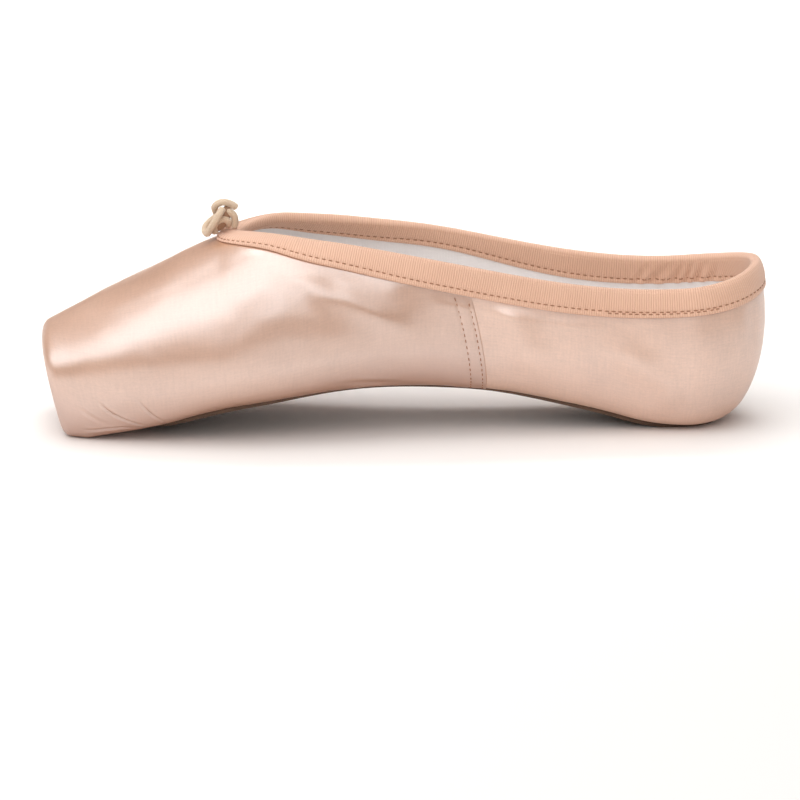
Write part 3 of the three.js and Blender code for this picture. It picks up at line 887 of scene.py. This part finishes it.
# columns over the underside, the lower and the upper side, for the satin's face and its back; thickness,
# greatest hollow, and rows along each stretch of the shoe
satinGrid = {"face": (6, 62, 44), "back": (2, 8, 8), "thick": 0.5, "hollow": 0.4}
rowCounts = {"box": 96, "ball": 26, "throat": 26, "waist": 44, "lap": 20, "fold": 5, "behindFold": 12,
             "quarter": 42, "heel": 44}
ballAt = -75


def stationList():
    # stations of the grid's rows: closer together at the throat and about the side seam's fold
    rows, fold = rowCounts, seam["foot"] + seam["foldGap"]
    quarter = np.linspace(0, np.pi / 2, rows["throat"])
    return np.concatenate([
        np.linspace(shoe["toeY"] + shoe["platformFillet"], ballAt, rows["box"])[:-1],
        np.linspace(ballAt, shoe["throatY"], rows["ball"])[:-1],
        shoe["throatY"] + shoe["throatRun"] * (1 - np.cos(quarter)),
        np.linspace(behindThroat, fold - 8, rows["waist"])[1:-1],
        np.linspace(fold - 8, fold - 0.5, rows["lap"]),
        fold + np.linspace(-0.25, 0.25, rows["fold"]),
        np.linspace(fold + 0.5, fold + 8, rows["behindFold"]),
        np.linspace(fold + 8, shoe["heelY"], rows["quarter"])[1:-1],
        shoe["heelY"] + shoe["heelArc"] * np.linspace(0, np.pi / 2, rows["heel"]),
    ])


def shoeGrid(stations, columns):
    # station and v for a half shoe: rows bent to the side seam, columns up to the collar
    flat, low, high = columns
    bent = (stations > behindThroat) & (stations < shoe["heelY"])
    share = np.concatenate([np.linspace(0, 1, flat + 1), 1 + np.linspace(0, 1, low + 1)[1:],
                            2 + np.linspace(0, 1, high + 1)[1:]])
    at = np.repeat(stations[:, None], len(share), 1)
    for _ in range(3):
        end = collarV(at[:, -1:])
        v = np.where(share <= 2, share, 2 + (end - 2) * (share - 2))
        at[bent] = alongSeam(stations[:, None], v)[bent]
    return at, np.where(share <= 2, share, 2 + (collarV(at[:, -1:]) - 2) * (share - 2))


def halfToFull(right, left):
    # left half reversed, then the right half: one sheet from collar to collar under the shoe
    return np.concatenate([left[:, :0:-1], right], 1)


def withMiddle(points):
    # one more row in front, all at the middle of the first row, which closes the toe
    middle = (points[0, 0] + points[0, -1]) / 2
    return np.concatenate([np.repeat(middle[None, None], points.shape[1], 1), points])


def clothUvOf(points, at):
    # u along the shoe, v the length of the section from the middle of the underside
    steps = np.cumsum(np.linalg.norm(np.diff(points, axis=1), axis=-1), axis=1)
    across = np.concatenate([np.zeros((len(points), 1)), steps], 1)
    return np.stack([np.broadcast_to(at, across.shape), across], -1)


def toeRings(v, steps):
    # the flat face of the platform as shrinking rings, then its rounded edge as a quarter circle
    fillet = shoe["platformFillet"]
    angle = np.linspace(np.pi / 2, 0, steps)[:-1, None]
    edge = skin(shoe["toeY"] + fillet * (1 - np.sin(angle)), v, fillet * (1 - np.cos(angle)))
    centre = (edge[0, 0] + edge[0, -1]) / 2
    shrink = np.linspace(0, 1, 10)[:-1, None, None]
    return np.concatenate([centre + (edge[0] - centre) * shrink, edge])


def onAxis(points, like):
    # keeps the points of the middle line on it
    points[..., 0] = np.where(like[..., 0] < 1e-6, 0, points[..., 0])
    return points


def rimSheets(outer, inner, outerRows, innerRows):
    # the two narrow strips that join the two faces of a wall along the collar
    return [
        {"points": np.stack([outer[outerRows, -1], inner[innerRows, -1]], 1)},
        {"points": np.stack([outer[outerRows, 0], inner[innerRows, 0]], 1), "flip": True},
    ]


def makeUpper():
    # the skin pushed out by its relief, with a plain sheet behind it; the quarters start at the fold
    stations = stationList()
    at, v = shoeGrid(stations, satinGrid["face"])
    points, normals = skin(at, v), skinNormal(at, v)
    rings = toeRings(v[:1], 9)
    halves = []
    for side in (1, -1):
        relief = satinRelief(at, v, points, side)
        halves.append(np.concatenate([rings, onAxis(points + normals * relief[..., None], points)]))
    outer = halfToFull(halves[0], flipX(halves[1]))
    ringAt = stations[0] - np.linspace(28, 0.5, len(rings))[:, None] + 0 * v[:1]
    right = clothUvOf(halves[0], np.concatenate([ringAt, at]))
    uv = halfToFull(right, right * [1, -1])
    atBack, vBack = shoeGrid(stations, satinGrid["back"])
    skinBack = skin(atBack, vBack)
    back = withMiddle(onAxis(skinBack - skinNormal(atBack, vBack) * satinGrid["thick"], skinBack))
    backFull = halfToFull(back, flipX(back))
    rim = np.flatnonzero(stations >= shoe["throatY"] - tiny)
    fold = len(rings) + int(np.argmin(np.abs(stations - seam["foot"] - seam["foldGap"])))
    sheets = [
        {"points": outer[:fold + 1], "uv": uv[:fold + 1]},
        {"points": outer[fold:], "uv": uv[fold:], "slot": 1},
        {"points": backFull, "flip": True},
    ]
    sheets += rimSheets(outer, backFull, rim + len(rings), rim + 1)
    piece = newPiece("satin-upper", sheets, [satin, quarterSatin])
    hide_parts("upper")


liningShape = {"front": -104, "columns": (6, 22, 24), "behindSatin": 0.1}


def makeLining():
    # the rest of the wall, from just behind the satin to the inner face
    stations = stationList()
    stations = stations[stations > liningShape["front"]]
    at, v = shoeGrid(stations, liningShape["columns"])
    outerSkin, normals = skin(at, v), skinNormal(at, v)
    faces = []
    for depth in (satinGrid["thick"] + liningShape["behindSatin"] + 0 * at, wall(at)):
        inside = withMiddle(onAxis(outerSkin - normals * depth[..., None], outerSkin))
        faces.append(halfToFull(inside, flipX(inside)))
    back, front = faces
    right = clothUvOf(front[:, front.shape[1] // 2:], np.concatenate([at[:1] - 20, at]))
    uv = halfToFull(right, right * [1, -1])
    rim = np.flatnonzero(stations >= shoe["throatY"] - tiny) + 1
    sheets = [{"points": back, "uv": uv}, {"points": front, "uv": uv, "flip": True}]
    piece = newPiece("cotton-lining", sheets + rimSheets(back, front, rim, rim), [liningCotton])


makeUpper()
makeLining()
print("upper and lining ready")


def collarStations(count):
    # stations along the collar, closer together at the throat and the back
    throat = shoe["throatY"] + shoe["throatRun"] * (1 - np.cos(np.linspace(0, np.pi / 2, count // 8)))
    return np.concatenate([throat, np.linspace(behindThroat, shoe["heelY"], count // 2)[1:-1],
                           shoe["heelY"] + shoe["heelArc"] * np.linspace(0, np.pi / 2, count // 5)])


def squareAtEnds(vectors):
    # the throat's and the back's vectors lie in the shoe's middle plane
    vectors[[0, -1], 0] = 0
    return vectors


def collarFrame(at):
    # v and points of the edge, the outward normal, and the direction over the skin away from the opening
    v = collarV(at)
    edge = skin(at, v)
    tangent = unit(np.gradient(edge, axis=0))
    tangent[0], tangent[-1] = (1, 0, 0), (-1, 0, 0)
    out = unit(squareAtEnds(skinNormal(at, np.minimum(v, 2.999))))
    return v, edge, out, unit(np.cross(tangent, out))


def onCollar(at, distance, lift):
    # points a distance below the collar's edge and lifted off the skin, with the normal there
    v, edge, out, away = collarFrame(at)
    a, b = walk(at, v, away, np.maximum(distance, 0))
    normal = unit(squareAtEnds(skinNormal(a, np.minimum(b, 2.999))))
    points = np.where((distance > 0)[:, None], skin(a, b) + normal * lift[:, None],
                      edge + away * distance[:, None] + out * lift[:, None])
    return squareAtEnds(points), normal


# small gathers inside the heel: height, spacing, slant, fade from the stitch row, and their stations
puckerShape = {"height": 0.6, "wave": 5.2, "slant": 0.6, "spread": 4.5, "in": (72, 82), "out": (100, 112)}


def puckers(at, distance, row):
    # slanted sine waves, deepest near the stitch row
    shape = puckerShape
    along = smooth(at, *shape["in"]) * (1 - smooth(at, *shape["out"]))
    wave = np.sin(2 * np.pi * (at + shape["slant"] * distance) / shape["wave"] + np.sin(at / 3.0))
    return shape["height"] * along * wave * np.exp(-((distance - row) / shape["spread"]) ** 2)


def tapeSurface(at, leg):
    # distance below the edge and lift of each row of a leg: puffed between bead and stitches, sunk at
    # the stitch row and tucked in at its end
    shape = tapeShape
    row, end = tapeRow(at, leg), tapeLeg(at, leg)
    surface = []
    for share in np.linspace(0.06, 1, shape["rows"][leg]):
        distance = end * share
        puff = shape["puff"] * np.sin(np.pi * np.clip(distance / np.maximum(row, 0.5), 0, 1)) ** 0.8
        groove = shape["groove"] * np.exp(-((distance - row) / shape["grooveWidth"]) ** 2)
        tuck = shape["tuck"] * smooth(distance, end - shape["tuckRun"], end)
        surface.append((distance, shoe["gap"] + shape["thick"] + puff - groove - tuck))
    return surface


def tapeProfile(at):
    # distance below the edge and lift, round the folded tape: outside leg, bead as half a superellipse,
    # inside leg, and back again close to the wall
    shape, near, thick = tapeShape, shoe["gap"], wall(at)
    far = near + shape["thick"]
    back = smooth(at, shoe["throatY"], shoe["throatY"] + shape["beadRun"])
    bead = shape["beadThroat"] + (shape["beadBack"] - shape["beadThroat"]) * back
    row, power = tapeRow(at, "inside"), shape["beadRound"]
    pairs = tapeSurface(at, "outside")[::-1]
    for angle in np.linspace(0, np.pi, shape["rows"]["bead"]):
        across, up = np.cos(angle), np.sin(angle)
        reach = (abs(across) ** power + up ** power) ** (-1 / power)
        pairs.append((shape["beadFoot"] - (shape["beadFoot"] + bead) * up * reach,
                      -thick / 2 + (thick / 2 + far) * across * reach))
    pairs += [(distance, -thick - lift - puckers(at, distance, row))
              for distance, lift in tapeSurface(at, "inside")]
    pairs += [(tapeLeg(at, "inside") * share, -thick - near) for share in (1, 0.5, 0.08)]
    pairs += [(tapeLeg(at, "outside") * share, near + 0 * at) for share in (0.08, 0.5, 1)]
    return pairs + pairs[:1]


def makeBinding():
    # the tape's profile carried along the collar; u runs along the tape and v round it
    at = collarStations(tapeShape["stations"])
    rows = [onCollar(at, distance + 0 * at, lift + 0 * at)[0] for distance, lift in tapeProfile(at)]
    right = np.stack(rows, 1)
    bead = tapeShape["rows"]["outside"] + tapeShape["rows"]["bead"] // 2
    lengths = running(right[:, bead])[:, None], running(right[len(at) // 2])[None]
    uv = np.stack(np.broadcast_arrays(*lengths), -1)
    sheets = [{"points": right, "uv": uv, "flip": True}, {"points": flipX(right), "uv": uv * [-1, 1]}]
    piece = newPiece("collar-binding", sheets, [tape], 60)
    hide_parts("binding")


makeBinding()
print("binding ready")

collarThread = {"pitch": 2.2, "length": 1.55, "thick": 0.42, "sunk": 0.16}
seamThread = {"pitch": 2.05, "length": 1.35, "thick": 0.34, "sunk": 0.15}

# one thread: rings along and around it, how far its middle stands up and its ends dip, in millimetres,
# and how uneven the pitch and the direction are
pod = {"rings": 7, "rise": 0.04, "dip": 0.16, "uneven": 0.08, "askew": 0.05}

# a second row sewn close below the first on the right of the heel: its stations, how far below and above
overSewn = {"from": 64, "to": 102, "below": 0.6, "rise": 0.14}


def stitchesAlong(points, normals, thread):
    # threads of equal pitch along a line: each is a small pod with its ends sunk in the cloth
    length = running(points)
    middles = np.arange(thread["pitch"] / 2, length[-1] - thread["pitch"] / 2, thread["pitch"])
    chance = np.random.default_rng(4)
    middles = middles + chance.normal(0, pod["uneven"], len(middles))

    def pick(values):
        return np.stack([np.interp(middles, length, values[:, i]) for i in range(3)], -1)
    centre, normal = pick(points), unit(pick(normals))
    tangent = unit(pick(np.gradient(points, axis=0) / np.gradient(length)[:, None]))
    side = np.cross(tangent, normal)
    tilt = chance.normal(0, pod["askew"], len(middles))[:, None]
    tangent, side = unit(tangent + side * tilt), unit(side - tangent * tilt)
    along = np.linspace(-1, 1, pod["rings"])
    angle = np.linspace(0, 2 * np.pi, pod["rings"])
    width = np.sqrt(np.clip(1 - along ** 4, 0, 1))[:, None]
    x = along[:, None] * thread["length"] / 2 + 0 * angle
    y = width * np.cos(angle) * thread["thick"] / 2
    z = width * np.sin(angle) * thread["thick"] / 2 + pod["rise"] - pod["dip"] * along[:, None] ** 2
    return (centre[:, None, None] + tangent[:, None, None] * x[..., None]
            + side[:, None, None] * y[..., None] + normal[:, None, None] * z[..., None])


def bothSides(pods):
    # the same threads on the other side of the shoe, their rings turned so that they still face out
    return [pods, flipX(pods)[:, :, ::-1]]


def joinedPods(name, groups):
    # all the threads of some rows as one piece
    sheets = [{"points": thread, "flip": True} for pods in groups for thread in pods]
    newPiece(name, sheets, [brownThread], 180)


def collarStitchRow(leg, below=0.0, rise=0.0):
    # stations and points of the tape's stitch row, or of a line below it, and which way is up from the cloth
    at = collarStations(420)
    row = tapeRow(at, leg)
    lift = shoe["gap"] + tapeShape["thick"] - collarThread["sunk"] + rise
    if leg == "inside":
        points, normal = onCollar(at, row, -wall(at) - lift - puckers(at, row, row))
        return at, points, -normal
    points, normal = onCollar(at, row + below, lift + 0 * at)
    return at, points, normal


def seamStitchRow(offset):
    # a line up the side seam, from under the sole to just below the tape
    v = np.linspace(1.1, 2.9, 140)
    at = alongSeam(np.full_like(v, seam["foot"]), v)
    at = alongSeam(np.full_like(v, seam["foot"]), np.minimum(v, collarV(at))) + offset
    keep = (v < collarV(at)) & (edgeDistance(at, skin(at, v)) > tapeLeg(at, "outside") + 0.3)
    at, v = at[keep], v[keep]
    normal = skinNormal(at, v)
    return skin(at, v) + normal * (seam["step"] * seamRise(offset) - seamThread["sunk"]), normal


def makeStitches():
    # two rows round the collar, a short one over the heel, and two rows down each side seam
    collarRows, seamRows = [], []
    for leg in ("outside", "inside"):
        at, points, normal = collarStitchRow(leg)
        collarRows += bothSides(stitchesAlong(points, normal, collarThread))
    at, points, normal = collarStitchRow("outside", overSewn["below"], overSewn["rise"])
    sewn = (at > overSewn["from"]) & (at < overSewn["to"])
    collarRows.append(stitchesAlong(points[sewn], normal[sewn], collarThread))
    for offset in (0.0, seam["rowGap"]):
        seamRows += bothSides(stitchesAlong(*seamStitchRow(offset), seamThread))
    joinedPods("collar-stitches", collarRows)
    joinedPods("side-seam-stitches", seamRows)


makeStitches()
print("stitches ready")

outsoleShape = {"front": soleRows[0, 0], "run": 12, "bevel": 0.45}
sockShape = {"front": -98, "run": 14, "bevel": 0.5, "wider": 0.5}


def roundedHalf(at, shape, half):
    # the half width, cut at the front by a quarter ellipse of the given run
    return half * np.sqrt(1 - (1 - np.clip((at - shape["front"]) / shape["run"], 0, 1)) ** 2)


def soleStations(shape):
    # stations of a plate: closer together round its front end
    end = shape["front"] + shape["run"]
    tip = shape["front"] + shape["run"] * (1 - np.cos(np.linspace(0, np.pi / 2, 20)))
    return np.concatenate([tip, np.linspace(end, shoe["heelY"], 130)[1:-1],
                           shoe["heelY"] + shoe["heelArc"] * np.linspace(0, np.pi / 2, 30)])


def makePlate(name, at, half, under, top, bevel, material):
    # a ribbon across the shoe between two heights: columns are shares of its flat width, then a quarter
    # circle of size bevel round each corner, over the underside and back over the top
    flat = np.maximum(half - bevel, 0)
    columns = [(flat * share, 0) for share in (0, 0.4, 0.8)]
    for angle in np.linspace(0, np.pi / 2, 6):
        columns.append((flat + np.minimum(bevel, half) * np.sin(angle), bevel * (1 - np.cos(angle))))
    points = []
    for height, order, sign in ((under, 1, 1), (top, -1, -1)):
        for x, rise in columns[::order]:
            station = np.where(x < tiny, np.minimum(at, shoe["heelY"]), at)
            points.append(place(station, x, height(station) + sign * rise))
    right = np.stack(points, 1)
    uv = np.stack(np.broadcast_arrays(at[:, None], right[..., 0]), -1)
    sheets = [{"points": right, "uv": uv, "flip": True}, {"points": flipX(right), "uv": uv * [1, -1]}]
    return newPiece(name, sheets, [material], 50)


def outsoleTop(at):
    # just below the satin
    return bottomOf(at) - shoe["gap"]


def outsoleUnder(at):
    # the sole's thickness lower, and flat where it stands on the floor
    return np.maximum(outsoleTop(at) - shoe["soleThick"], 0)


def makeOutsole():
    # the leather sole between its two heights
    at = soleStations(outsoleShape)
    half = roundedHalf(at, outsoleShape, soleHalf(at))
    piece = makePlate("leather-outsole", at, half, outsoleUnder, outsoleTop, outsoleShape["bevel"], leather)
    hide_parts("outsole")


def sockUnder(at):
    # just above the wall's inner face
    return bottomOf(at) + wall(at) + shoe["gap"]


def sockTop(at):
    # the sock's thickness higher
    return sockUnder(at) + shoe["sockThick"]


def makeSock():
    # the sock inside, a little wider than the flat underside
    at = soleStations(sockShape)
    half = roundedHalf(at, sockShape, last["flat"](at) + sockShape["wider"])
    piece = makePlate("cotton-sock", at, half, sockUnder, sockTop, sockShape["bevel"], sockCotton)
    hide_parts("insole")


makeOutsole()
makeSock()
print("outsole and sock ready")

floorLook = {"half": 6.0, "color": (0.95, 0.92, 0.895), "roughness": 0.6}


def makeFloor():
    # one square of pale paper, in metres
    half = floorLook["half"]
    corners = [(x * half, y * half, 0) for x, y in ((-1, -1), (1, -1), (1, 1), (-1, 1))]
    mesh = bpy.data.meshes.new("floor")
    mesh.from_pydata(corners, [], [(0, 1, 2, 3)])
    look = {"Base Color": floorLook["color"], "Roughness": floorLook["roughness"]}
    mesh.materials.append(newMaterial("floorPaper", look)[0])
    floor = bpy.data.objects.new("floor", mesh)
    bpy.context.collection.objects.link(floor)


makeFloor()
print("all pieces ready")
